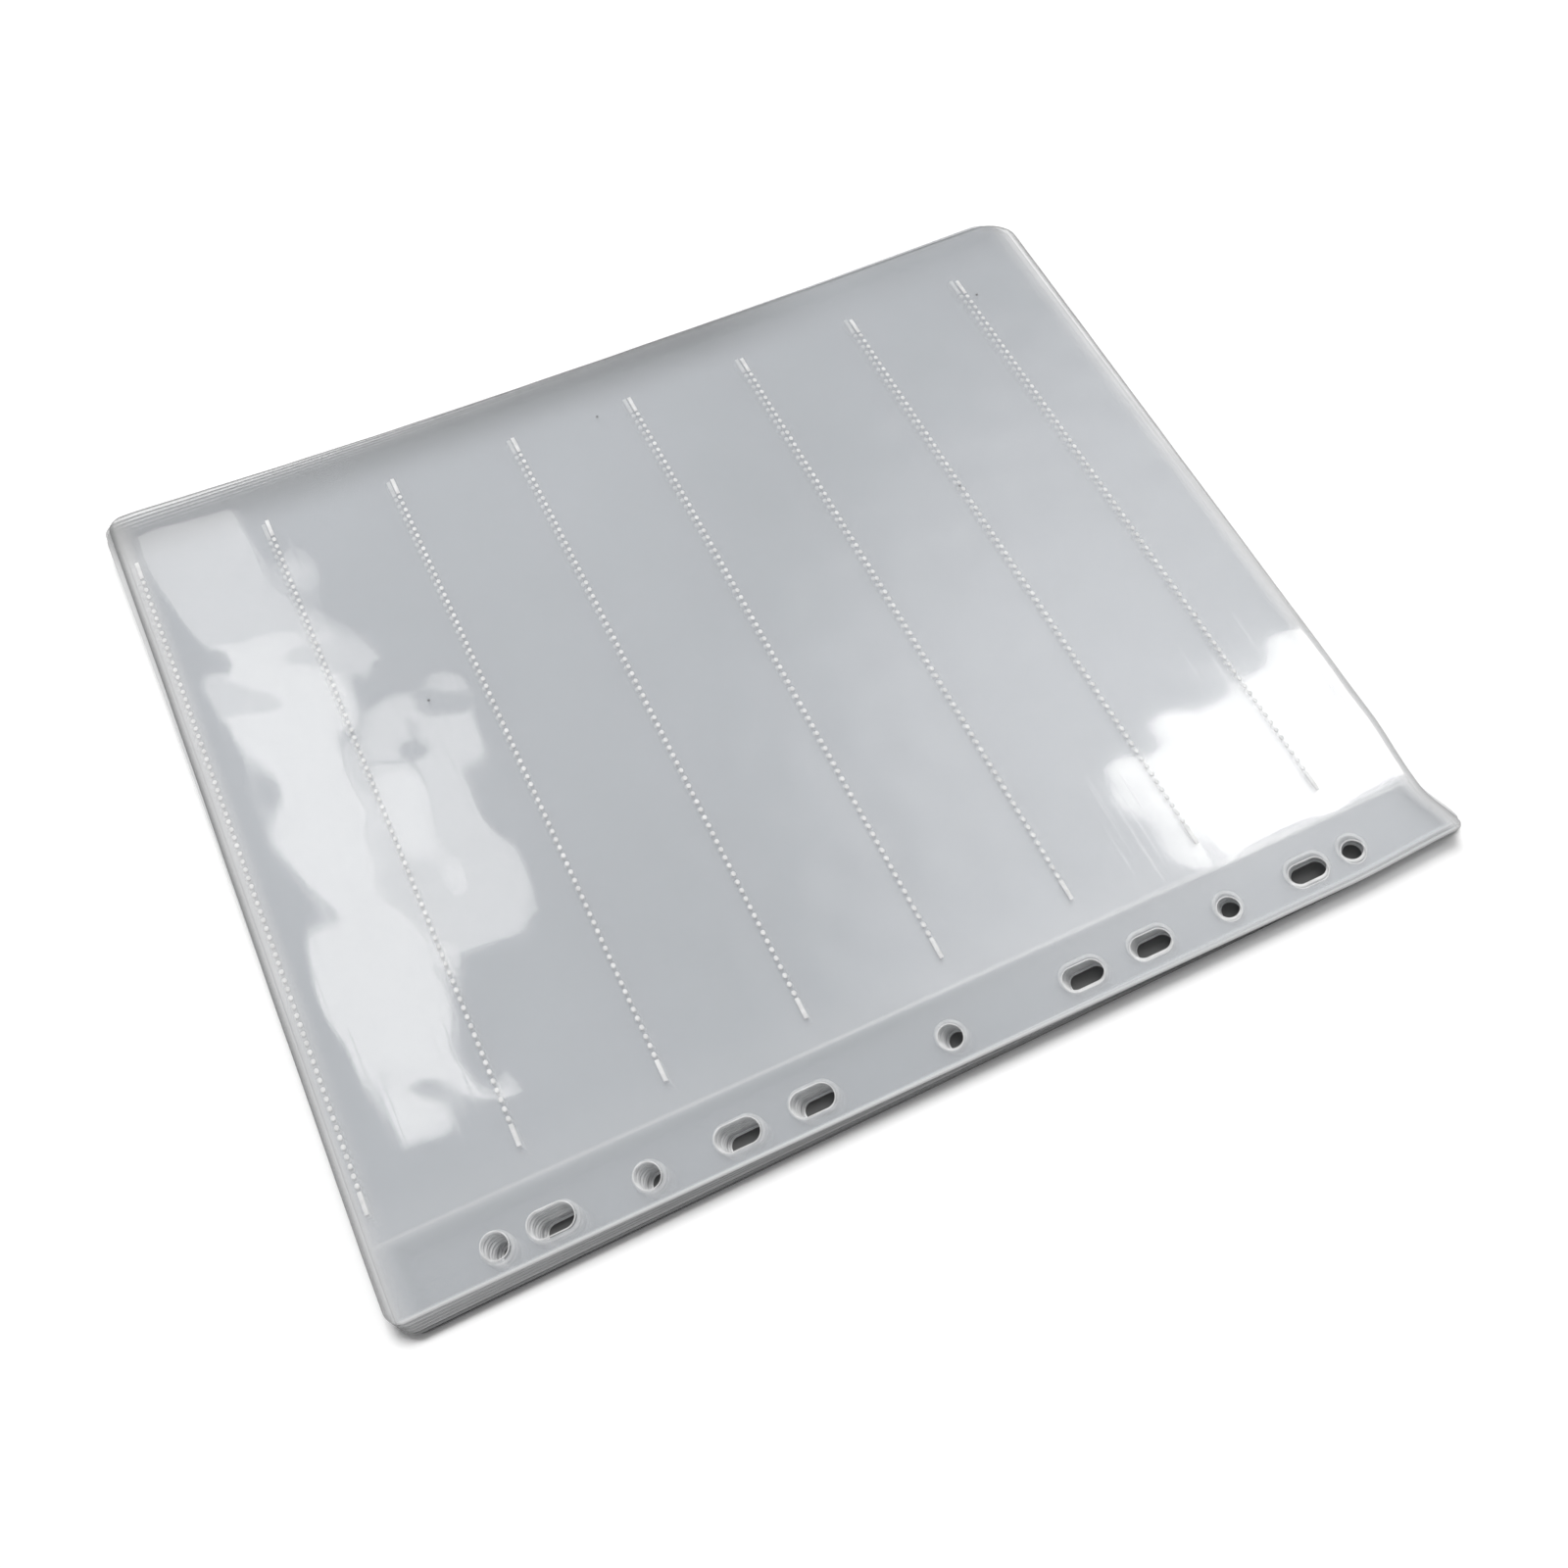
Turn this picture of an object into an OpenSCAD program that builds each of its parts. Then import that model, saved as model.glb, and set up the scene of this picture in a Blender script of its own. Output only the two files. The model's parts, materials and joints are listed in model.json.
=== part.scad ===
// Pack of clear film pages that hold strips of photographic negatives in a ring binder.
// A page is two thin films of one outline. They are fused over the punched margin, along both sides
// and along the seams that part the pockets, and they stay open at the far edge, the pocket mouths.
// The pages lie loose on each other.
// The origin is the middle of the pack's underside. X runs along the punched edge, Y from that edge
// to the pocket mouths, and Z up.

/* [Page] */
// Length of a page along its punched edge
page_l = 297; // [270:1:340]
// Width of a page from its punched edge to the pocket mouths
page_w = 250; // [180:1:320]
// Radius of the corners of a page
corner_r = 5; // [1:0.5:12]
// Thickness of one film
film_t = 0.1; // [0.06:0.01:0.2]

/* [Pockets] */
// Distance from one weld seam to the next
pocket_pitch = 38; // [28:0.5:70]
// Width of the punched margin, from its edge to the pockets
margin_w = 17.5; // [14:0.5:30]
// Width of the weld along each side of a page
side_weld = 2; // [1:0.5:3]
// Distance from the left side of a page to the middle of the first seam
first_seam = 4.2; // [4:0.1:12]
// Width of a weld seam
seam_w = 1.6; // [0.8:0.1:2]
// Distance from the margin to the near end of a seam
seam_near = 9.2; // [0:0.1:20]
// Distance from the far end of a seam to the far edge
seam_far = 18.7; // [1:0.1:30]
// Height of the bead of a weld seam above its film
bead_h = 0.05; // [0.02:0.01:0.1]
// Rise of the front film over the middle of a pocket
pocket_rise = 0.4; // [0.2:0.05:0.8]
// Least width of the narrow pocket that is left after the last seam
end_pocket_min = 6; // [4:1:12]

/* [Ring holes] */
// Distance from the punched edge to the line of hole centres
hole_inset = 7.5; // [6:0.1:9]
// Diameter of a round hole
hole_d = 6.5; // [5:0.1:7.5]
// Width of a slot
slot_w = 6.5; // [5:0.1:7.5]
// Length of a slot from end to end
slot_l = 11.5; // [8:0.5:13]
// Distance of the inner slots from the middle hole
inner_slot_x = 38; // [36:0.5:40]
// Distance of the second slots from the middle hole
second_slot_x = 58; // [56:0.5:60]
// Distance of the inner round holes from the middle hole
inner_hole_x = 81.5; // [78:0.5:84]
// Distance of the outer slots from the middle hole
outer_slot_x = 106; // [104:0.5:107]
// Distance of the outer round holes from the middle hole
outer_hole_x = 120; // [119:0.5:122]

/* [Pack] */
// Number of pages in the pack
page_count = 10; // [2:1:20]
// Air between a page and the page that lies on it
page_gap = 0.25; // [0.1:0.05:0.5]

/* [Hidden] */
film_names = ["back_film", "front_film"];
page_h = 2 * film_t + pocket_rise;
page_step = page_h + page_gap;
left = -page_l / 2;
right = page_l / 2;
near = -page_w / 2;
far = page_w / 2;
hole_y = near + hole_inset;
pocket_y = near + margin_w;
seam_y = pocket_y + seam_near;
seam_l = far - seam_far - seam_y;
seam_room = page_l - first_seam - seam_w / 2 - end_pocket_min - side_weld;
seam_count = floor(seam_room / pocket_pitch) + 1;
// Each pocket is the stretch of film between two welds, and the last one ends at the right side's weld
pockets = [for (i = [1 : seam_count])
    [seam_x(i) + seam_w / 2, i < seam_count ? seam_x(i + 1) - seam_w / 2 : right - side_weld]];
crown_steps = 10;
corner_steps = 8;
hole_fn = 48;
cut = 1;
film_tint = [0.72, 0.74, 0.76];
back_film_alpha = 0.5;
front_film_alpha = 0.4;

function film_node(k, film) = str("page_", k < 10 ? "0" : "", k, "_", film);
function page_z(k) = (k - 1) * page_step;
function seam_x(i) = left + first_seam + (i - 1) * pocket_pitch;
function crown(u) = 4 * pocket_rise * u * (1 - u);
// The front film's underside from its left side to its right side, raised by z
function front_line(z) = [
    [left, z],
    for (p = pockets, i = [0 : crown_steps])
        [p[0] + (p[1] - p[0]) * i / crown_steps, z + crown(i / crown_steps)],
    [right, z]
];
function reversed(list) = [for (i = [len(list) - 1 : -1 : 0]) list[i]];
function corner_arc(x, y, start) = [for (i = [0 : corner_steps])
    [x, y] + corner_r * [cos(start + 90 * i / corner_steps), sin(start + 90 * i / corner_steps)]];

// Outline of a page with its rounded corners
module page_outline() {
    polygon(concat(
        corner_arc(right - corner_r, far - corner_r, 0),
        corner_arc(left + corner_r, far - corner_r, 90),
        corner_arc(left + corner_r, near + corner_r, 180),
        corner_arc(right - corner_r, near + corner_r, 270)
    ));
}

// Cutter for one round ring hole
module round_hole(x) {
    translate([x, hole_y, -cut]) cylinder(h = page_h + 2 * cut, d = hole_d, $fn = hole_fn);
}

// Cutter for one ring slot
module slot_hole(x) {
    run = slot_l - slot_w;
    for (side = [-1, 1])
        translate([x + side * run / 2, hole_y, -cut])
            cylinder(h = page_h + 2 * cut, d = slot_w, $fn = hole_fn);
    translate([x - run / 2, hole_y - slot_w / 2, -cut]) cube([run, slot_w, page_h + 2 * cut]);
}

// The eleven ring holes of a page: one in the middle and five on each side of it
module ring_holes() {
    round_hole(0);
    for (side = [-1, 1]) {
        slot_hole(side * inner_slot_x);
        slot_hole(side * second_slot_x);
        round_hole(side * inner_hole_x);
        slot_hole(side * outer_slot_x);
        round_hole(side * outer_hole_x);
    }
}

// A shape drawn in X and Z that runs from y towards the far edge
module along_pockets(y, length) {
    translate([0, y + length, 0]) rotate([90, 0, 0]) linear_extrude(length) children();
}

// Back film of a page: flat, with the ring holes
module back_film(k) {
    color(film_tint, back_film_alpha)
        translate([0, 0, page_z(k)])
            difference() {
                linear_extrude(film_t) page_outline();
                ring_holes();
            }
}

// Front film of a page: flat where it is fused to the back film, and bowed over each pocket
module front_film(k) {
    color(film_tint, front_film_alpha)
        translate([0, 0, page_z(k)])
            difference() {
                intersection() {
                    linear_extrude(page_h + cut) page_outline();
                    union() {
                        translate([left, near, film_t]) cube([page_l, margin_w + film_t, film_t]);
                        along_pockets(pocket_y, far - pocket_y)
                            polygon(concat(front_line(film_t), reversed(front_line(2 * film_t))));
                        along_pockets(pocket_y, film_t)
                            polygon(concat([[left, film_t], [right, film_t]], reversed(front_line(2 * film_t))));
                        for (i = [1 : seam_count]) seam_bead(seam_x(i));
                    }
                }
                ring_holes();
            }
}

// Bead of one weld seam, which stands on the front film
module seam_bead(x) {
    translate([x - seam_w / 2, seam_y, film_t]) cube([seam_w, seam_l, film_t + bead_h]);
}

for (k = [1 : page_count]) {
    back_film(k);
    front_film(k);
}
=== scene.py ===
# A pack of ten clear film pages for strips of photographic negatives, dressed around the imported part.
# Each page is two punched films that are fused at the margin, the sides and eight dotted seams.
# The pages lie loose on each other, a little fanned and wavy. All lengths are in metres.

import json
import math

import bmesh
import bpy
import numpy as np
from mathutils import Euler, Matrix, Quaternion, Vector

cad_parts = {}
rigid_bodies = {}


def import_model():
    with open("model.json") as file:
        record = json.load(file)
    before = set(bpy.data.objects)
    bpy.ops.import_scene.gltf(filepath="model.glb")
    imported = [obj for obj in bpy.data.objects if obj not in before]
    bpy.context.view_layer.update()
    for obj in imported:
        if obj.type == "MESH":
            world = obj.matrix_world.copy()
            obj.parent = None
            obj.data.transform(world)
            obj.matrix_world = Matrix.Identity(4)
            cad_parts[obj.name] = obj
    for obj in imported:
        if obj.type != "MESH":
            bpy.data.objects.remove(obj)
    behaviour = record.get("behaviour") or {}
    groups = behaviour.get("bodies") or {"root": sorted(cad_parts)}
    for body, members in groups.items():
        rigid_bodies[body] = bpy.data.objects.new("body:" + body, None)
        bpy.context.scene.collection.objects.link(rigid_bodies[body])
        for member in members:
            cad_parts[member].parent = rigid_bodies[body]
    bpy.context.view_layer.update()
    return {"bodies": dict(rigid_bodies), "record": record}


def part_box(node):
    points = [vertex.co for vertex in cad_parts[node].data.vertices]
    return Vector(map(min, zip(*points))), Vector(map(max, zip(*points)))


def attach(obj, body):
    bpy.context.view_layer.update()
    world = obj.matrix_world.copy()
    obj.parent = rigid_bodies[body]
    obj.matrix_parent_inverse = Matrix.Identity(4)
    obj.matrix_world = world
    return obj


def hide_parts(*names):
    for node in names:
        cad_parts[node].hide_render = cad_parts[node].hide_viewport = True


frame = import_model()
scene = bpy.context.scene


# Film stock. Clear glossy plastic film, drawn thin, with a faint grey haze and fine scratches from handling.
# One film hardly hides what lies under it, and the pack of twenty turns grey and milky.

FILM_HAZE_DARK = (0.720, 0.750, 0.782, 1)
FILM_HAZE_PALE = (0.775, 0.803, 0.838, 1)
# White of fused film, also used for painted highlights; dark of painted shade, also used for the dark lines
# beside the side welds
FILM_FUSED_AND_HIGHLIGHT = (0.95, 0.955, 0.96, 1)
FILM_SHADE_AND_WELD_LINE = (0.04, 0.042, 0.045, 1)
FILM_DUST = (0.03, 0.03, 0.03, 1)
FILM_ALPHA = 0.22
CUT_ALPHA = 0.65
FILM_ROUGH, HANDLED_ROUGH, SCRATCH_ROUGH = 0.06, 0.05, 0.12
SCRATCH_TURN = (0, 0, 0.4)
# The mirror of a film is scaled by its alpha, so the index is raised until one film mirrors about 8 percent
FILM_INDEX = 4.1


def new_group(name, inputs, outputs):
    group = bpy.data.node_groups.new(name, "ShaderNodeTree")
    for label, kind, value in inputs:
        socket = group.interface.new_socket(label, in_out="INPUT", socket_type=kind)
        socket.default_value = value
    for label, kind in outputs:
        group.interface.new_socket(label, in_out="OUTPUT", socket_type=kind)
    return group, group.nodes.new("NodeGroupInput"), group.nodes.new("NodeGroupOutput")


def place_group(tree, group, **values):
    node = tree.nodes.new("ShaderNodeGroup")
    node.node_tree = group
    for label, value in values.items():
        node.inputs[label].default_value = value
    return node


def add_math(tree, operation, *values):
    node = tree.nodes.new("ShaderNodeMath")
    node.operation = operation
    for socket, value in zip(node.inputs, values):
        if isinstance(value, (int, float)):
            socket.default_value = value
        else:
            tree.links.new(value, socket)
    return node.outputs["Value"]


def add_mix(tree, factor, first, second):
    node = tree.nodes.new("ShaderNodeMix")
    node.data_type = "RGBA"
    tree.links.new(factor, node.inputs["Factor"])
    for socket, value in zip([s for s in node.inputs if s.type == "RGBA"], (first, second)):
        if isinstance(value, bpy.types.NodeSocket):
            tree.links.new(value, socket)
        else:
            socket.default_value = value
    return next(s for s in node.outputs if s.type == "RGBA")


def new_material(name):
    material = bpy.data.materials.new(name)
    material.use_nodes = True
    return material, material.node_tree, material.node_tree.nodes["Principled BSDF"]


def haze_group():
    group, given, result = new_group(
        "Film haze", [("Size", "NodeSocketFloat", 30.0)], [("Mask", "NodeSocketFloat")]
    )
    place = group.nodes.new("ShaderNodeTexCoord")
    cloud = group.nodes.new("ShaderNodeTexNoise")
    cloud.inputs["Detail"].default_value = 3
    group.links.new(place.outputs["Object"], cloud.inputs["Vector"])
    group.links.new(given.outputs["Size"], cloud.inputs["Scale"])
    spread = group.nodes.new("ShaderNodeMapRange")
    spread.inputs["From Min"].default_value = 0.35
    spread.inputs["From Max"].default_value = 0.65
    group.links.new(cloud.outputs["Fac"], spread.inputs["Value"])
    group.links.new(spread.outputs["Result"], result.inputs["Mask"])
    return group


def scratch_group():
    group, given, result = new_group(
        "Fine scratches", [("Turn", "NodeSocketVector", (0, 0, 0))], [("Mask", "NodeSocketFloat")]
    )
    place = group.nodes.new("ShaderNodeTexCoord")
    turned = group.nodes.new("ShaderNodeMapping")
    turned.inputs["Scale"].default_value = (900, 14, 1)
    group.links.new(place.outputs["Object"], turned.inputs["Vector"])
    group.links.new(given.outputs["Turn"], turned.inputs["Rotation"])
    streaks = group.nodes.new("ShaderNodeTexNoise")
    streaks.inputs["Scale"].default_value = 1
    streaks.inputs["Detail"].default_value = 1
    group.links.new(turned.outputs["Vector"], streaks.inputs["Vector"])
    spread = group.nodes.new("ShaderNodeMapRange")
    spread.inputs["From Min"].default_value = 0.62
    spread.inputs["From Max"].default_value = 0.75
    group.links.new(streaks.outputs["Fac"], spread.inputs["Value"])
    group.links.new(spread.outputs["Result"], result.inputs["Mask"])
    return group


def speck_group():
    group, given, result = new_group(
        "Dust specks",
        [
            ("Per metre", "NodeSocketFloat", 24.0),
            ("Share", "NodeSocketFloat", 0.9),
            ("Radius", "NodeSocketFloat", 0.009),
        ],
        [("Mask", "NodeSocketFloat")],
    )
    place = group.nodes.new("ShaderNodeTexCoord")
    cells = group.nodes.new("ShaderNodeTexVoronoi")
    cells.voronoi_dimensions = "2D"
    group.links.new(place.outputs["Object"], cells.inputs["Vector"])
    group.links.new(given.outputs["Per metre"], cells.inputs["Scale"])
    near = add_math(group, "LESS_THAN", cells.outputs["Distance"], given.outputs["Radius"])
    parts = group.nodes.new("ShaderNodeSeparateColor")
    group.links.new(cells.outputs["Color"], parts.inputs["Color"])
    chosen = add_math(group, "GREATER_THAN", parts.outputs["Red"], given.outputs["Share"])
    group.links.new(add_math(group, "MULTIPLY", near, chosen), result.inputs["Mask"])
    return group


film_haze, fine_scratches, dust_specks = haze_group(), scratch_group(), speck_group()


def from_attribute(tree, name):
    node = tree.nodes.new("ShaderNodeAttribute")
    node.attribute_name = name
    return node.outputs["Fac"]


def clear_film(name, handled):
    material, tree, skin = new_material(name)
    colour = add_mix(tree, from_attribute(tree, "haze"), FILM_HAZE_DARK, FILM_HAZE_PALE)
    # White where the film is fused, and painted highlights
    colour = add_mix(tree, from_attribute(tree, "fused"), colour, FILM_FUSED_AND_HIGHLIGHT)
    # Painted shade, and the dark lines beside the side welds
    colour = add_mix(tree, from_attribute(tree, "shade"), colour, FILM_SHADE_AND_WELD_LINE)
    seen = add_math(tree, "MULTIPLY_ADD", from_attribute(tree, "cut"), CUT_ALPHA - FILM_ALPHA, FILM_ALPHA)
    skin.inputs["Roughness"].default_value = FILM_ROUGH
    skin.inputs["IOR"].default_value = FILM_INDEX
    if handled:
        specks = place_group(tree, dust_specks).outputs["Mask"]
        colour = add_mix(tree, specks, colour, FILM_DUST)
        seen = add_math(tree, "MAXIMUM", seen, specks)
        scratched = place_group(tree, fine_scratches, Turn=SCRATCH_TURN).outputs["Mask"]
        rough = add_math(tree, "MULTIPLY_ADD", scratched, SCRATCH_ROUGH, HANDLED_ROUGH)
        tree.links.new(rough, skin.inputs["Roughness"])
    tree.links.new(colour, skin.inputs["Base Color"])
    tree.links.new(seen, skin.inputs["Alpha"])
    return material


film_material = clear_film("clear film", False)
top_film_material = clear_film("handled clear film", True)


# Cut edges, in two painted tones of one stock. The walls of the holes are rough and painted white, a painted
# highlight of lit edges, and the outer edges are smoother and painted dark, as painted shade.

EDGE_HAZE = 400.0
EDGE_SHADE = 0.82


def cut_edge(name, colour, alpha, roughness):
    material, tree, skin = new_material(name)
    haze = place_group(tree, film_haze, Size=EDGE_HAZE).outputs["Mask"]
    shade = tuple(EDGE_SHADE * c for c in colour[:3]) + (1,)
    tree.links.new(add_mix(tree, haze, shade, colour), skin.inputs["Base Color"])
    skin.inputs["Roughness"].default_value = roughness
    skin.inputs["Alpha"].default_value = alpha
    return material


# Hole walls with painted highlight, outer walls with painted shade
painted_highlight_edge = cut_edge("white cut edge", (0.95, 0.955, 0.96, 1), 0.7, 0.4)
painted_shade_edge = cut_edge("dark cut edge", (0.10, 0.105, 0.11, 1), 0.7, 0.2)


# Film blank. One film lies flat with its rounded corners, cut on lines close enough to take the waves,
# and is punched with eleven ring holes: five round ones and six slots.

page_low, page_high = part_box("page_01_back_film")
FILM_T = page_high.z - page_low.z
LEFT, RIGHT, NEAR, FAR = page_low.x, page_high.x, page_low.y, page_high.y
# Corner radii by the signs of X and Y
CORNER_R = {(-1, -1): 0.0045, (1, -1): 0.0022, (-1, 1): 0.0045, (1, 1): 0.0095}
CORNER_STEPS = 8
HOLE_SIDES = 40
MARGIN_Y = NEAR + 0.0175
FIRST_SEAM, SEAM_STEP, SEAMS = 0.0042, 0.038, 8
SEAM_XS = [LEFT + FIRST_SEAM + SEAM_STEP * i for i in range(SEAMS)]
SEAM_W = 0.0016
SIDE_WELD = 0.002
# Widths of the lines that show along a cut edge, beside a side weld and on the front rim
EDGE_W, WELD_LINE, RIM_W = 0.0003, 0.00025, 0.0007
# Place of the crease, counted from MARGIN_Y, its width, and where the margin changes to the pockets
CREASE_AT, CREASE_W = 0.0012, 0.0008
CHANGE = (MARGIN_Y - 0.0005, MARGIN_Y + 0.0015)
# Greatest distance between the lines of the mesh
LINE_STEP = 0.003
# Edges that bend by more than this are shaded sharp
SHARP_CUT = math.radians(40)

ring_holes = []
for mount in frame["record"]["mounts"]:
    if mount["kind"] == "bore":
        ring_holes.append((mount["pos_m"][0], 0.0))
        HOLE_R, HOLE_Y = mount["dims"]["r_mm"] / 1000, mount["pos_m"][1]
    elif mount["kind"] == "other":
        half_run = (mount["dims"]["slot_length_mm"] / 2 - mount["dims"]["hole_r_mm"]) / 1000
        half_gap = mount["dims"]["spacing_x_mm"] / 2000
        ring_holes += [(-half_gap, half_run), (half_gap, half_run)]


def divided(stops, step):
    lines = []
    for start, end in zip(stops, stops[1:]):
        parts = max(1, math.ceil((end - start) / step - 1e-6))
        lines += [start + (end - start) * i / parts for i in range(parts)]
    return lines[1:]


def lengthen(verts, half_run):
    for v in verts:
        v.co.x += math.copysign(half_run, v.co.x)


def finished(bm, name, materials):
    mesh = bpy.data.meshes.new(name)
    bm.to_mesh(mesh)
    bm.free()
    for material in materials:
        mesh.materials.append(material)
    return mesh


def punch_tool():
    bm = bmesh.new()
    half_step = Matrix.Rotation(math.pi / HOLE_SIDES, 4, "Z")
    for x, half_run in ring_holes:
        pin = bmesh.ops.create_cone(
            bm, cap_ends=True, segments=HOLE_SIDES, radius1=HOLE_R, radius2=HOLE_R, depth=20 * FILM_T,
            matrix=half_step,
        )["verts"]
        lengthen(pin, half_run)
        bmesh.ops.translate(bm, verts=pin, vec=(x, HOLE_Y, 0))
    tool = bpy.data.objects.new("punch tool", finished(bm, "punch tool", []))
    scene.collection.objects.link(tool)
    return tool


def from_edge(x, y):
    depth = np.minimum.reduce([x - LEFT, RIGHT - x, y - NEAR, FAR - y])
    for (sx, sy), radius in CORNER_R.items():
        dx = radius - (x - LEFT if sx < 0 else RIGHT - x)
        dy = radius - (y - NEAR if sy < 0 else FAR - y)
        depth = np.where((dx > 0) & (dy > 0), radius - np.hypot(dx, dy), depth)
    return np.clip(depth, 0, None)


def film_blank():
    bm = bmesh.new()
    bmesh.ops.create_grid(bm, x_segments=1, y_segments=1, size=0.5)
    bmesh.ops.scale(bm, vec=(RIGHT - LEFT, FAR - NEAR, 1), verts=bm.verts)
    for corner in bm.verts[:]:
        radius = CORNER_R[tuple(int(math.copysign(1, c)) for c in corner.co[:2])]
        bmesh.ops.bevel(
            bm, geom=[corner], offset=radius, segments=CORNER_STEPS, profile=0.5, affect="VERTICES",
            material=-1,
        )
    bmesh.ops.inset_region(bm, faces=bm.faces[:], thickness=EDGE_W, use_even_offset=True)
    welds = [x + side * SEAM_W / 2 for x in SEAM_XS for side in (-1, 1)]
    weld_lines = [SIDE_WELD + step * WELD_LINE for step in (-1, 0, 1)]
    left_lines = [LEFT + at for at in weld_lines]
    right_lines = [RIGHT - at for at in reversed(weld_lines)]
    across = divided([LEFT, *left_lines, *welds, *right_lines, RIGHT], LINE_STEP)
    rim_lines = [NEAR, NEAR + RIM_W, NEAR + 2 * RIM_W, HOLE_Y - HOLE_R, HOLE_Y + HOLE_R]
    margin_lines = [MARGIN_Y + CREASE_AT + step * CREASE_W for step in (-1, 0, 1)]
    margin_lines = [CHANGE[0], *margin_lines, MARGIN_Y + 0.0035]
    along = divided([*rim_lines, *margin_lines, FAR - 0.003, FAR - 0.001, FAR], LINE_STEP)
    for normal, places in (((1, 0, 0), across), ((0, 1, 0), along)):
        for at in places:
            geom = [*bm.verts, *bm.edges, *bm.faces]
            bmesh.ops.bisect_plane(bm, geom=geom, plane_co=Vector(normal) * at, plane_no=normal)
    bmesh.ops.solidify(bm, geom=bm.faces[:], thickness=-FILM_T)
    bmesh.ops.recalc_face_normals(bm, faces=bm.faces)
    low = min(v.co.z for v in bm.verts)
    bmesh.ops.translate(bm, verts=bm.verts, vec=(0, 0, -low))
    blank = bpy.data.objects.new("film blank", finished(bm, "film blank", []))
    scene.collection.objects.link(blank)
    tool = punch_tool()
    punched = blank.modifiers.new("punched", "BOOLEAN")
    punched.object, punched.operation, punched.solver = tool, "DIFFERENCE", "EXACT"
    mesh = bpy.data.meshes.new_from_object(blank.evaluated_get(bpy.context.evaluated_depsgraph_get()))
    for scrap in (blank, tool):
        bpy.data.objects.remove(scrap)
    bm = bmesh.new()
    bm.from_mesh(mesh)
    bmesh.ops.delete(bm, geom=[f for f in bm.faces if f.normal.z < -0.5], context="FACES")
    bm.to_mesh(mesh)
    bm.free()
    for material in (film_material, painted_highlight_edge, painted_shade_edge):
        mesh.materials.append(material)
    # Walls of the holes take the painted highlight, the outer walls the painted shade
    for face in mesh.polygons:
        if abs(face.normal.z) < 0.5:
            inner = from_edge(face.center.x, face.center.y) > FILM_T
            face.material_index = 1 if inner else 2
    mesh.shade_smooth()
    mesh.set_sharp_from_angle(angle=SHARP_CUT)
    return mesh


def ease(start, end, value):
    t = np.clip((value - start) / (end - start), 0, 1)
    return t * t * (3 - 2 * t)


def ripple(x, y, length, seed):
    u, v = x / length * math.tau, y / length * math.tau
    first = np.sin(u + 1.3 * np.sin(0.41 * v + seed) + 2.1 * seed)
    second = np.sin(0.8 * v + 1.5 * np.sin(0.37 * u + 1.7 * seed) + seed)
    third = np.sin(0.7 * (u + v) + 0.9 * np.sin(0.5 * (u - v) + seed) + 0.6 * seed)
    return (first + second + third) / 3


def coordinates(mesh):
    points = np.empty(len(mesh.vertices) * 3)
    mesh.vertices.foreach_get("co", points)
    return points.reshape(-1, 3).T


def mark(mesh, name, values):
    mesh.attributes.new(name, "FLOAT", "POINT").data.foreach_set("value", values.astype(np.float32))


def edge_line(x, y):
    return np.clip(1 - from_edge(x, y) / EDGE_W, 0, 1)


def ridge(distance, width):
    return np.clip(1 - np.abs(distance) / width, 0, 1)


# Tones of a film, as shares: white where it is fused, and painted highlight on the front rims of the upper
# pages, along the margin crease and in a band up the left side; painted shade as dark lines on cut edges and
# on the front rims of the lower pages, and a painted dark reflection in the pocket mouths; dark lines beside
# the side welds;
# denser along the edges and welds, clearer over the margin, and cloudy all over
def mark_tones(mesh, x, y, rim_shaded, dark, top):
    pockets = ease(*CHANGE, y)
    front = 1 - ease(NEAR + 0.001, NEAR + 0.005, y)
    rim = np.clip(2 - (y - NEAR) / RIM_W, 0, 1)
    # A wider band at the left, stronger towards the back, is painted highlight
    left = (1 - ease(0.003, 0.0075, x - LEFT)) * (0.4 + 0.6 * ease(-0.09, -0.03, y))
    side = np.minimum(x - LEFT, RIGHT - x)
    welded_sides_and_sheen = np.maximum(left, 1 - ease(0.0015, 0.0045, side))
    border = ridge(side - SIDE_WELD, WELD_LINE)
    # The crease and the band beside it are painted white as a painted highlight of the bend
    crease = ridge(y - MARGIN_Y - CREASE_AT, CREASE_W)
    fold_highlight = ease(CHANGE[0], MARGIN_Y + CREASE_AT, y) * (1 - ease(MARGIN_Y + 0.002, MARGIN_Y + 0.016, y))
    # Darker towards the far edge, less at the right: a painted dark reflection in the pocket mouths
    mouth = ease(0.104, FAR + 0.002, y) * (1 - 0.7 * ease(0.03, 0.09, x))
    line = edge_line(x, y)
    # Dark lines on the cut edges are painted shade: on the sides of the listed pages, weaker on every front
    # edge
    edge = line * (0.9 * dark * (1 - front) + 0.55 * front)
    clearer = (0.17 * top - 0.25) * (1 - pockets)
    denser = np.maximum.reduce([line, rim, 0.7 * border, 0.4 * welded_sides_and_sheen, 0.2 * crease])
    clouds = 0.62 + 0.3 * ripple(x, y, 0.11, 1.0) + 0.12 * ripple(x, y, 0.035, 2.6)
    # White: fused film, and painted highlight on the upper pages' front rims, the crease and the left band
    mark(mesh, "fused", np.maximum.reduce([(1 - rim_shaded) * rim, 0.9 * welded_sides_and_sheen, 0.8 * crease, 0.16 * fold_highlight]))
    # Dark: painted shade on cut edges, the lower pages' front rims and the pocket mouths, and lines beside
    # the side welds
    mark(mesh, "shade", np.maximum.reduce([edge, 0.5 * mouth, 0.8 * rim_shaded * rim, 0.4 * border]))
    mark(mesh, "cut", np.where(denser > 0, denser, clearer))
    mark(mesh, "haze", np.clip(clouds * (0.35 + 0.65 * pockets), 0, 1))


blank_mesh = film_blank()


# Dotted seams. A hot toothed bar melts the two films of a page together in rows of round dots,
# with a short plain bar at each end, and leaves them white.

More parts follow.
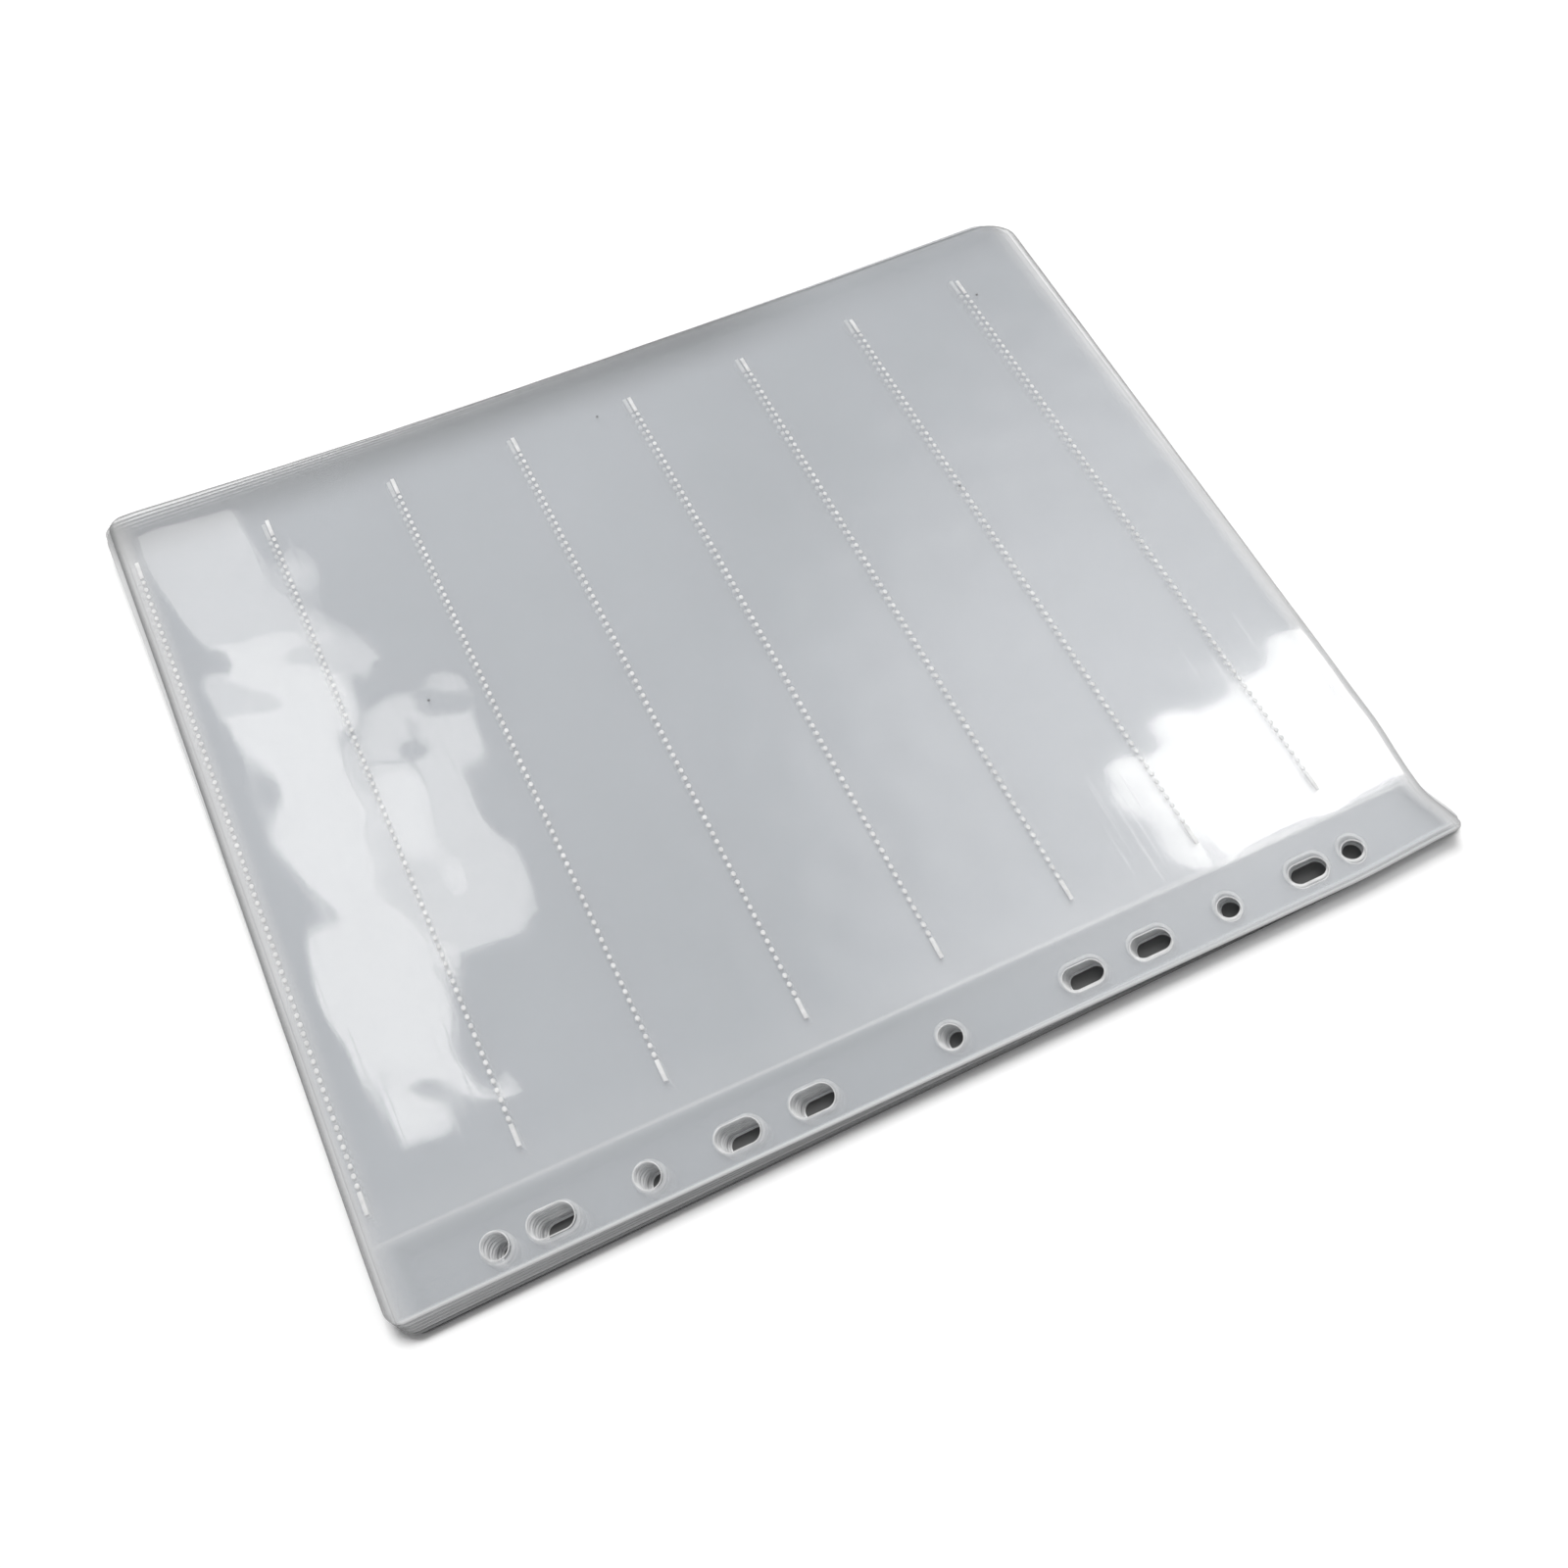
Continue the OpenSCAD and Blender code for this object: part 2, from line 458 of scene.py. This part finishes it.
SEAM_START, SEAM_END = MARGIN_Y + 0.0092, FAR - 0.0187
DOT_STEP = 0.0026
DOT_SIZE = Vector((0.00068, 0.00085, 0.00007))
END_BAR = 0.006
BAR_W, BAR_H = 0.0011, 0.00010

seam_material = cut_edge("white weld", (0.94, 0.94, 0.94, 1), 0.65, 0.3)


def seam_row():
    bm = bmesh.new()
    dots = int((SEAM_END - SEAM_START - 2 * END_BAR) / DOT_STEP)
    first = (SEAM_START + SEAM_END - (dots - 1) * DOT_STEP) / 2
    for i in range(dots):
        place = Matrix.LocRotScale((0, first + i * DOT_STEP, 0), None, DOT_SIZE)
        bmesh.ops.create_uvsphere(bm, u_segments=8, v_segments=5, radius=1, matrix=place)
    for y in (SEAM_START + END_BAR / 2, SEAM_END - END_BAR / 2):
        place = Matrix.LocRotScale((0, y, 0), None, (BAR_W, END_BAR, 2 * BAR_H))
        bar = bmesh.ops.create_cube(bm, size=1, matrix=place)
        edges = dict.fromkeys(e for v in bar["verts"] for e in v.link_edges)
        bmesh.ops.bevel(
            bm, geom=list(edges), offset=0.9 * BAR_H, segments=2, profile=0.5, affect="EDGES", material=-1
        )
    return finished(bm, "seam row", [])


def seam_rows():
    row = seam_row()
    bm = bmesh.new()
    for x in SEAM_XS:
        before = len(bm.verts)
        bm.from_mesh(row)
        bm.verts.ensure_lookup_table()
        bmesh.ops.translate(bm, verts=bm.verts[before:], vec=(x, 0, 0))
    bpy.data.meshes.remove(row)
    mesh = finished(bm, "seam rows", [seam_material])
    mesh.shade_smooth()
    return mesh


seam_mesh = seam_rows()


# Punched lips. The punch pushes up a thin burr round every ring hole, which shows as a bright ring: its white
# is partly the burr and partly a painted glow of the lit hole edge. It is stretched film that stays on the
# page.

LIP_STEPS = 36
LIP_H = 0.00008
LIP_IN = 0.0001
# The lips of the top page are crisp, and those below are wide and blurred, so that their painted glow fills
# the lower hole edges
TOP_LIP_W, LOW_LIP_W = 0.0004, 0.0011

# Its white is partly the burr and partly painted glow
lip_material = cut_edge("white lip", (0.98, 0.98, 0.98, 1), 0.42, 0.35)


def hole_lips(width):
    bm = bmesh.new()
    for x, half_run in ring_holes:
        place = Matrix.LocRotScale(
            (HOLE_R - LIP_IN + width / 2, 0, 0), Euler((math.pi / 2, 0, 0)), (width / 2, LIP_H / 2, 1)
        )
        place = Matrix.Rotation(math.pi / LIP_STEPS, 4, "Z") @ place
        wire = bmesh.ops.create_circle(bm, segments=6, radius=1, matrix=place)["verts"]
        before = set(bm.verts) - set(wire)
        edges = dict.fromkeys(e for v in wire for e in v.link_edges)
        bmesh.ops.spin(
            bm, geom=[*wire, *edges], cent=(0, 0, 0), axis=(0, 0, 1), angle=2 * math.pi, steps=LIP_STEPS,
            use_merge=True,
        )
        ring = [v for v in bm.verts if v not in before]
        lengthen(ring, half_run)
        bmesh.ops.translate(bm, verts=ring, vec=(x, HOLE_Y, 0))
    bmesh.ops.remove_doubles(bm, verts=bm.verts, dist=1e-7)
    bmesh.ops.recalc_face_normals(bm, faces=bm.faces)
    mesh = finished(bm, "hole lips", [lip_material])
    mesh.shade_smooth()
    return mesh


top_lip_mesh, low_lip_mesh = hole_lips(TOP_LIP_W), hole_lips(LOW_LIP_W)


# The pile of pages. Each page is dropped on the one below, turned and shifted a little, so that the pile
# fans. It is thinner over the fused margin than over the pockets, and its front right corner is drawn out.

PAGES = len(frame["bodies"])
PAGE_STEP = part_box("page_02_back_film")[0].z - page_low.z
POCKET_RISE = 0.00012
# Share of the crown, and its distance from the sides, where the films part beyond the seams
MOUTH_CROWN, MOUTH_SIDE = 0.5, 0.02
EDGE_ROLL = 0.00012
# The front right corner is drawn out, and the right side is waisted beside it
TIP_OUT, TIP_BACK, WAIST_IN = 0.0043, 0.0014, 0.0012
# The front rims of the lower pages are painted dark as painted shade instead of white, and the pages listed
# next get dark lines of painted shade on their side cut edges
SHADED_RIM_PAGES = 5
SHADED_EDGE_PAGES = (5, 8, 10)
# Shares by which the pile is thinner over the margin, at the far edge and at the left side
MARGIN_THIN, FAR_THIN, LEFT_THIN = 0.12, 0.10, 0.06
# The pocket mouths lift at both ends of the far edge, less at the right, and sag between them
MOUTH_LIFT, RIGHT_LIFT, MOUTH_SAG = 0.0036, 0.4, 0.0012
# Edges of a laid page that bend by more than this are shaded sharp
SHARP_LAID = math.radians(12)
# Heights of the waves at the left, of the swelling in the third pocket and of each page's own waves
WAVE, BULGE, OWN_WAVE = 0.00025, 0.0005, 0.00006
# How far each page lies from the top one: along X and Y in millimetres, and turned in degrees
PAGE_SHIFTS = [
    (1.45, -0.30, 0.90),
    (1.56, -0.52, 0.85),
    (0.75, -0.20, 0.90),
    (0.76, -0.55, 0.80),
    (0.10, -0.40, 0.90),
    (-0.04, -0.15, 0.80),
    (-0.44, 0.23, 0.75),
    (-0.33, 0.37, 0.60),
    (-0.52, 0.50, 0.45),
    (0.0, 0.0, 0.0),
]


def pile_share(x, y):
    over = (MARGIN_Y - y) / (MARGIN_Y - NEAR)
    margin = 1 - MARGIN_THIN * (over + np.sqrt(over * over + 0.015))
    far = 1 - FAR_THIN * ease(0.117, FAR, y)
    side = 1 - LEFT_THIN * ease(0.138, -LEFT, -x)
    return margin * far * side * (1 + 0.04 * ripple(x, y, 0.16, 0.4))


def page_height(k, x, y):
    level = (k - 1) / (PAGES - 1)
    left = 1 - ease(-0.085, -0.045, x)
    inside = ease(MARGIN_Y, MARGIN_Y + 0.02, y) * (1 - 0.6 * ease(0.09, FAR, y))
    waves = ripple(x, y, 0.034, 2.0) + 0.22 * ripple(x, y, 0.015, 0.3)
    bulge = BULGE * ease(*SEAM_XS[1:3], x) * (1 - ease(*SEAM_XS[2:4], x))
    bulge = bulge * ease(-0.075, -0.02, y) * (1 - ease(0.03, 0.09, y))
    own = OWN_WAVE * inside * ripple(x, y, 0.018, 0.7 * k)
    lift = MOUTH_LIFT * np.where(x < 0, 1, RIGHT_LIFT) * (x / RIGHT) ** 2
    mouth = (lift - MOUTH_SAG) * ease(0.05, FAR, y)
    loose = WAVE * inside * (0.2 + 0.8 * left) * waves + bulge + own + mouth
    return (k - 1) * PAGE_STEP * pile_share(x, y) + level * loose


def pocket_crown(x, y):
    borders = [LEFT + SIDE_WELD, *SEAM_XS, RIGHT - SIDE_WELD]
    rise = np.zeros_like(x)
    for start, end in zip(borders, borders[1:]):
        u = np.clip((x - start - SEAM_W / 2) / (end - start - SEAM_W), 0, 1)
        rise = np.maximum(rise, 4 * u * (1 - u) * min(1, (end - start) / SEAM_STEP) ** 2)
    from_left = ease(LEFT + SIDE_WELD, LEFT + MOUTH_SIDE, x)
    from_right = ease(-RIGHT + SIDE_WELD, -RIGHT + MOUTH_SIDE, -x)
    free = MOUTH_CROWN * ease(SEAM_END, FAR, y) * from_left * from_right
    return POCKET_RISE * np.maximum(rise, free) * ease(MARGIN_Y, MARGIN_Y + 0.004, y)


def lay(name, mesh, k, lift=0.0, crowned=False):
    piece = bpy.data.objects.new(name, mesh.copy())
    scene.collection.objects.link(piece)
    x, y, z = coordinates(mesh)
    shift_x, shift_y, turn = PAGE_SHIFTS[k - 1]
    c, s = math.cos(math.radians(turn)), math.sin(math.radians(turn))
    tip = ease(0.108, -NEAR, -y) * ease(0.115, RIGHT, x)
    waist = ease(0.085, 0.105, -y) * ease(0.120, RIGHT, x)
    flat_x = x + TIP_OUT * tip - WAIST_IN * waist
    flat_y = y + TIP_BACK * tip
    over_x = c * flat_x - s * flat_y + shift_x / 1000
    over_y = s * flat_x + c * flat_y + shift_y / 1000
    height = z + lift + page_height(k, over_x, over_y)
    if mesh == blank_mesh:
        mark_tones(piece.data, x, y, k <= SHADED_RIM_PAGES, k in SHADED_EDGE_PAGES, k == PAGES)
        height = height - (k > 1) * EDGE_ROLL * edge_line(x, y)
    if crowned:
        height = height + pocket_crown(x, y) * (1 + 0.25 * ripple(x, y, 0.022, 1.1 * k))
    piece.data.vertices.foreach_set("co", np.column_stack((over_x, over_y, height)).ravel())
    piece.data.update()
    if mesh == blank_mesh:
        piece.data.set_sharp_from_angle(angle=SHARP_LAID)
    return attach(piece, f"page_{k:02d}")


for k in range(1, PAGES + 1):
    page = f"page_{k:02d}"
    back = lay(f"{page}_back", blank_mesh, k)
    front = lay(f"{page}_front", blank_mesh, k, lift=FILM_T, crowned=True)
    seams = lay(f"{page}_seams", seam_mesh, k, lift=2 * FILM_T)
    lips = lay(f"{page}_lips", top_lip_mesh if k == PAGES else low_lip_mesh, k, lift=2 * FILM_T)
    if k == PAGES:
        front.data.materials[0] = top_film_material
    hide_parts(f"{page}_back_film")
    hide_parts(f"{page}_front_film")
for spare in (blank_mesh, seam_mesh, top_lip_mesh, low_lip_mesh):
    bpy.data.meshes.remove(spare)


# The white table and the light of the room. The pack lies on plain white card, in soft light from behind.
# A window at the right and a bright strip behind at the left show as white reflections on the film.
# The card has a dark spot under each ring hole of the bottom page, a painted shadow at the bottom of the
# holes.

TABLE_Z = -0.0001
TABLE_SIZE = 6.0
TABLE_WHITE = (0.97, 0.97, 0.97, 1)
# The dark of the spots is painted shadow
TABLE_PAINTED_SHADOW = (0.13, 0.13, 0.13, 1)
# How far the spots lie above the card and inside the walls of the holes
SPOT_RISE, SPOT_IN = 0.00003, 0.0006


def table_card(name, colour):
    material, _, skin = new_material(name)
    skin.inputs["Base Color"].default_value = colour
    skin.inputs["Roughness"].default_value = 0.9
    skin.inputs["Specular IOR Level"].default_value = 0.0
    return material


bm = bmesh.new()
# Spots of painted shadow under the ring holes of the bottom page
for x, half_run in ring_holes:
    shadow_spot = bmesh.ops.create_circle(bm, cap_ends=True, segments=HOLE_SIDES, radius=HOLE_R - SPOT_IN)["verts"]
    lengthen(shadow_spot, half_run)
    bmesh.ops.translate(bm, verts=shadow_spot, vec=(x, HOLE_Y, SPOT_RISE))
shift_x, shift_y, turn = PAGE_SHIFTS[0]
bmesh.ops.rotate(bm, verts=bm.verts, cent=(0, 0, 0), matrix=Matrix.Rotation(math.radians(turn), 3, "Z"))
bmesh.ops.translate(bm, verts=bm.verts, vec=(shift_x / 1000, shift_y / 1000, 0))
for face in bm.faces:
    face.material_index = 1
bmesh.ops.create_grid(bm, x_segments=1, y_segments=1, size=TABLE_SIZE / 2)
bmesh.ops.translate(bm, verts=bm.verts, vec=(0, 0, TABLE_Z))
cards = [table_card("white card", TABLE_WHITE), table_card("shaded card", TABLE_PAINTED_SHADOW)]
table = bpy.data.objects.new("table", finished(bm, "table", cards))
scene.collection.objects.link(table)

WINDOW_WAY = (0.47, 0.28, 0.835)
# Where each part of the room's light starts and ends, and its strength at both
CEILING = (0.3, 0.75, 0.06, 0.42)
WINDOW = (0.935, 1.0, 0.0, 0.65)
WALLS = (0.25, 0.5, 0.55, 0.0)


def room_light():
    world = bpy.data.worlds.new("room")
    world.use_nodes = True
    tree = world.node_tree
    way = tree.nodes.new("ShaderNodeTexCoord")
    parts = tree.nodes.new("ShaderNodeSeparateXYZ")
    tree.links.new(way.outputs["Generated"], parts.inputs["Vector"])
    toward = tree.nodes.new("ShaderNodeVectorMath")
    toward.operation = "DOT_PRODUCT"
    toward.inputs[1].default_value = WINDOW_WAY
    tree.links.new(way.outputs["Generated"], toward.inputs[0])
    shares = []
    height = parts.outputs["Z"]
    for value, limits in ((height, CEILING), (toward.outputs["Value"], WINDOW), (height, WALLS)):
        ramp = tree.nodes.new("ShaderNodeMapRange")
        ramp.interpolation_type = "SMOOTHSTEP"
        for socket, number in zip(ramp.inputs[1:5], limits):
            socket.default_value = number
        tree.links.new(value, ramp.inputs["Value"])
        shares.append(ramp.outputs["Result"])
    ceiling, window, walls = shares
    rays = tree.nodes.new("ShaderNodeLightPath")
    mirrored = add_math(tree, "MULTIPLY", walls, rays.outputs["Is Glossy Ray"])
    level = add_math(tree, "MAXIMUM", add_math(tree, "ADD", ceiling, window), mirrored)
    level = add_math(tree, "MAXIMUM", level, rays.outputs["Is Camera Ray"])
    tree.links.new(level, tree.nodes["Background"].inputs["Strength"])
    tree.nodes["Background"].inputs["Color"].default_value = (1, 1, 1, 1)
    return world


scene.world = room_light()


def area_lamp(name, place, size, turn, radiance):
    lamp = bpy.data.lights.new(name, "AREA")
    lamp.shape = "RECTANGLE"
    lamp.size, lamp.size_y = size
    lamp.energy = 4 * size[0] * size[1] * radiance
    lamp.color = (1, 0.975, 0.95)
    holder = bpy.data.objects.new(name, lamp)
    holder.location = place
    holder.rotation_euler = (0, 0, math.radians(turn))
    holder.visible_camera = False
    scene.collection.objects.link(holder)


# Each lamp's middle, its size, its turn about Z in degrees and its brightness
area_lamp("window", (0.460, 0.123, 0.608), (0.205, 0.135), 15, 5.0)
area_lamp("left pane", (-0.131, 0.095, 0.208), (0.048, 0.205), -1, 1.1)
area_lamp("middle pane", (-0.088, 0.100, 0.208), (0.038, 0.110), -4, 0.75)
area_lamp("upper pane", (-0.133, 0.240, 0.208), (0.060, 0.095), 6, 0.65)

sky = bpy.data.lights.new("sky", "SUN")
sky.energy = 2.5
sky.angle = math.radians(30)
sky_holder = bpy.data.objects.new("sky", sky)
sky_holder.rotation_euler = Vector((0.0, -0.49, -0.87)).to_track_quat("-Z", "Y").to_euler()
sky_holder.visible_glossy = False
scene.collection.objects.link(sky_holder)


# The camera of the photograph, which looks down on the pack from above its punched edge.

camera = bpy.data.cameras.new("camera")
camera.sensor_width = 36
camera.lens = 37.80
camera.clip_start, camera.clip_end = 0.01, 20
camera_holder = bpy.data.objects.new("camera", camera)
camera_holder.location = (-0.0998, -0.2243, 0.3945)
aim = Vector((-0.0071, -0.0362, 0.00785)) - camera_holder.location
camera_holder.rotation_mode = "QUATERNION"
camera_holder.rotation_quaternion = aim.to_track_quat("-Z", "Y") @ Quaternion((0, 0, 1), math.radians(1.0))
scene.collection.objects.link(camera_holder)
scene.camera = camera_holder
scene.view_settings.view_transform = "Standard"
scene.cycles.transparent_max_bounces = 128
scene.cycles.caustics_reflective = False
scene.cycles.sample_clamp_direct = 1.5
scene.cycles.sample_clamp_indirect = 2
